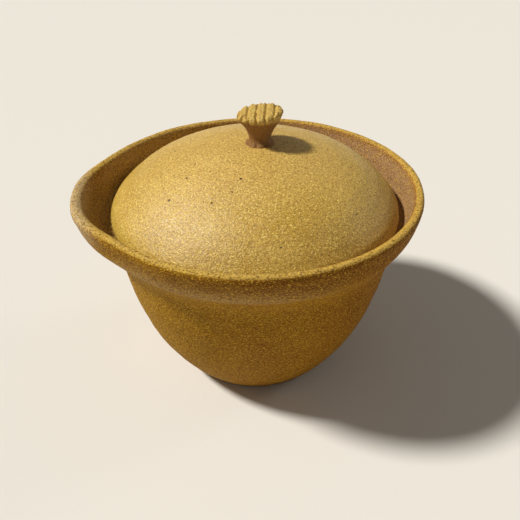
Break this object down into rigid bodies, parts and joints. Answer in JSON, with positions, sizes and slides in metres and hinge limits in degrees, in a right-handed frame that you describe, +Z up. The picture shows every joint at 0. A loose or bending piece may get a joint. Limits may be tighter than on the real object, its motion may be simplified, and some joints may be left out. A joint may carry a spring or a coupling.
{
  "type": "lidded stoneware teapot without handle",
  "caption": "Small unglazed stoneware teapot without a handle: a bowl with a pouring lip drawn from its collar, and a domed lid sunk in the collar, lifted by a petalled knob.",
  "frame": {"origin": "on the axis of the bowl, at the surface that its foot stands on", "axes": "+Z up along the bowl's axis, -X towards the pouring lip, +Y to the right of someone who looks along -X at the lip from above"},
  "size_m": [0.1129, 0.1084, 0.0934],
  "materials": {
    "bowl_stoneware": "sandy matt stoneware",
    "lid_stoneware": "sandy satin stoneware",
    "knob_stoneware": "rough sandy stoneware"
  },
  "bodies": {
    "bowl": {"bowl_body": "bowl_stoneware"},
    "lid": {"lid_dome": "lid_stoneware", "lid_knob": "knob_stoneware"}
  },
  "joints": [
    {"name": "lid_lift", "type": "slide", "parent": "bowl", "child": "lid", "axis": [0, 0, 1], "range_m": [0, 0.08]}
  ]
}
